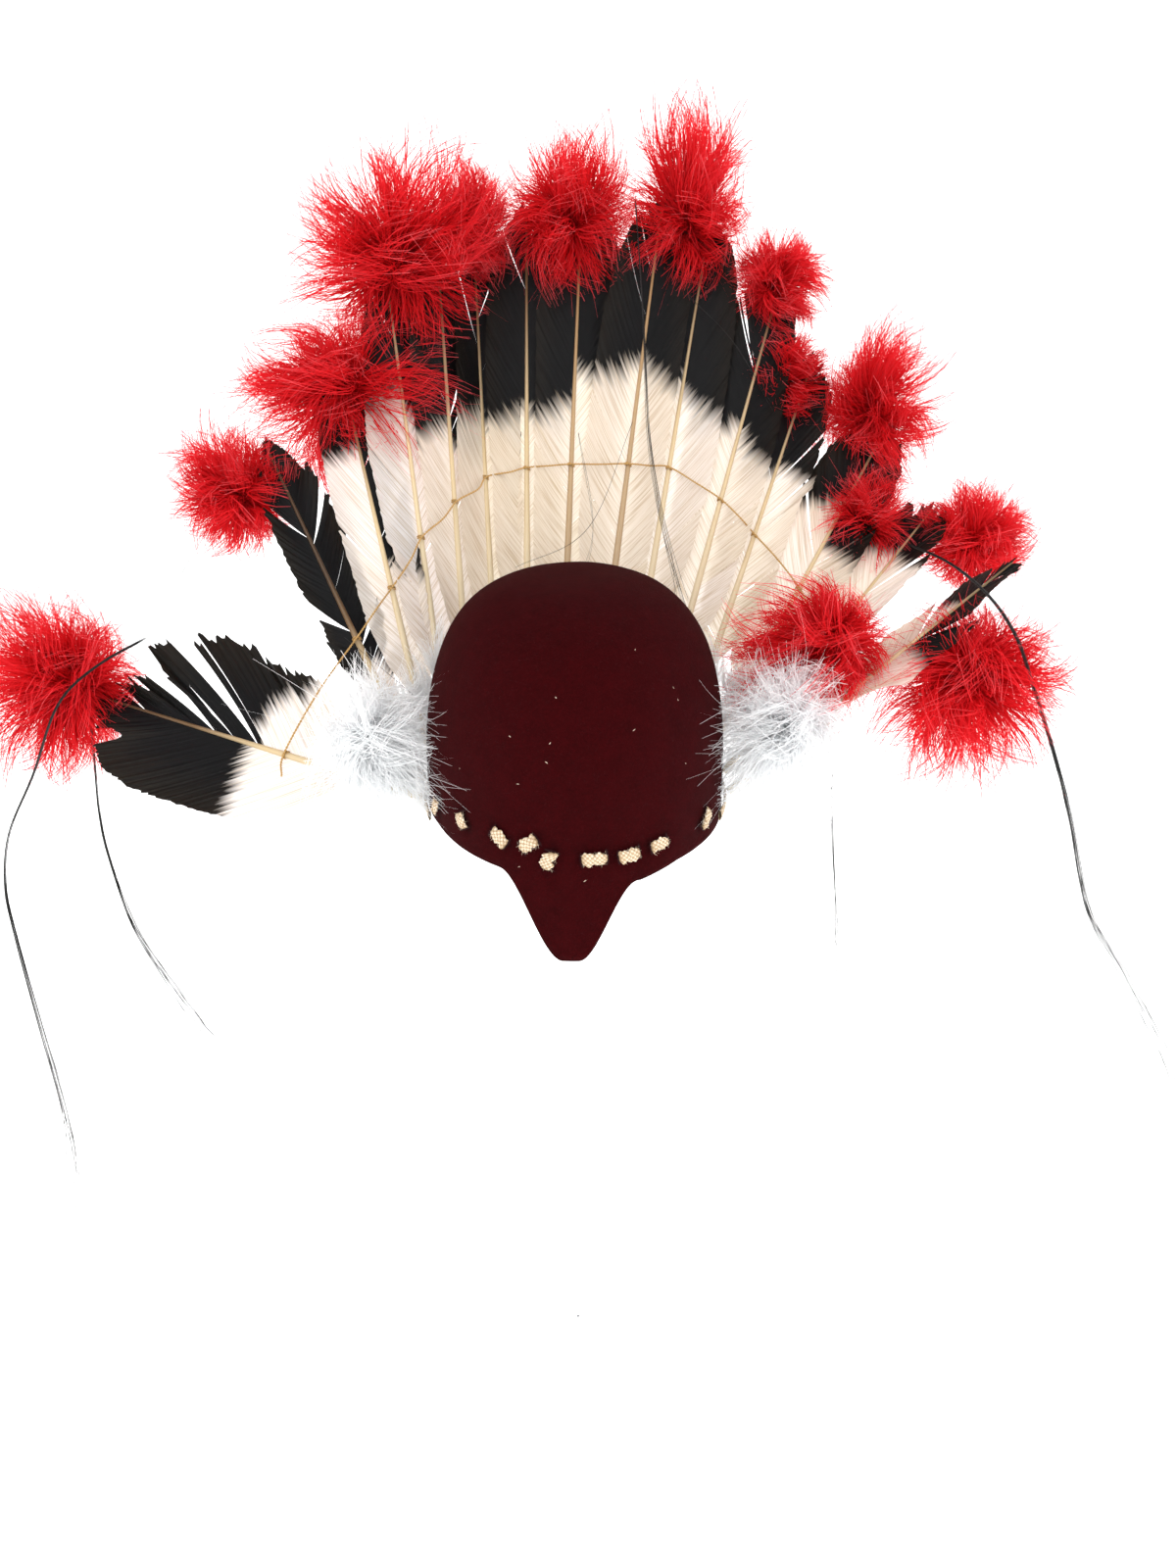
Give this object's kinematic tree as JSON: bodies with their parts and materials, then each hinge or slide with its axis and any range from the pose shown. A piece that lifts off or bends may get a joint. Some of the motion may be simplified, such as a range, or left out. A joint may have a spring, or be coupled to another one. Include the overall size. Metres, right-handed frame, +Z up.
{
  "type": "feathered headdress",
  "caption": "Felt cap with a forehead tongue and a laced-on fan of black-tipped white feathers, with red plumes, white fluff and horsehair locks.",
  "frame": {"origin": "centre of the head opening, level with the cap's lower edge at the nape", "axes": "+Z up towards the crown, the wearer faces -Y, +X is the wearer's left"},
  "size_m": [0.7672, 0.3552, 0.7156],
  "materials": {
    "felt": "dark red wool felt, matt",
    "lace": "cream woven cotton lace",
    "feather": "cream feather vane with a black tip, soft sheen",
    "thread": "tan waxed thread",
    "horsehair": "black horsehair, glossy",
    "red_marabou": "dyed red marabou down",
    "white_marabou": "white marabou down"
  },
  "bodies": {
    "root": {"felt_cap": "felt", "lace_stitch_01": "lace", "lace_stitch_02": "lace", "lace_stitch_03": "lace", "lace_stitch_04": "lace", "lace_stitch_05": "lace", "lace_stitch_06": "lace", "lace_stitch_07": "lace", "lace_stitch_08": "lace", "lace_stitch_09": "lace", "back_lace": "lace", "feather_01": "feather", "feather_02": "feather", "feather_03": "feather", "feather_04": "feather", "feather_05": "feather", "feather_06": "feather", "feather_07": "feather", "feather_08": "feather", "feather_09": "feather", "feather_10": "feather", "feather_11": "feather", "feather_12": "feather", "feather_13": "feather", "feather_14": "feather", "feather_15": "feather", "bridle_thread": "thread", "horsehair_left_long": "horsehair", "horsehair_left_short": "horsehair", "horsehair_centre": "horsehair", "horsehair_right_long": "horsehair", "horsehair_right_short": "horsehair", "red_plume_01": "red_marabou", "red_plume_02": "red_marabou", "red_plume_03": "red_marabou", "red_plume_04": "red_marabou", "red_plume_05": "red_marabou", "red_plume_06": "red_marabou", "red_plume_07": "red_marabou", "red_plume_08": "red_marabou", "red_plume_09": "red_marabou", "red_plume_10": "red_marabou", "red_plume_11": "red_marabou", "red_plume_12": "red_marabou", "red_plume_13": "red_marabou", "red_plume_14": "red_marabou", "white_fluff_01": "white_marabou", "white_fluff_02": "white_marabou", "white_fluff_03": "white_marabou", "white_fluff_04": "white_marabou", "white_fluff_05": "white_marabou", "white_fluff_06": "white_marabou", "white_fluff_07": "white_marabou", "white_fluff_08": "white_marabou", "white_fluff_09": "white_marabou", "white_fluff_10": "white_marabou", "white_fluff_11": "white_marabou", "white_fluff_12": "white_marabou", "white_fluff_13": "white_marabou"}
  },
  "joints": []
}
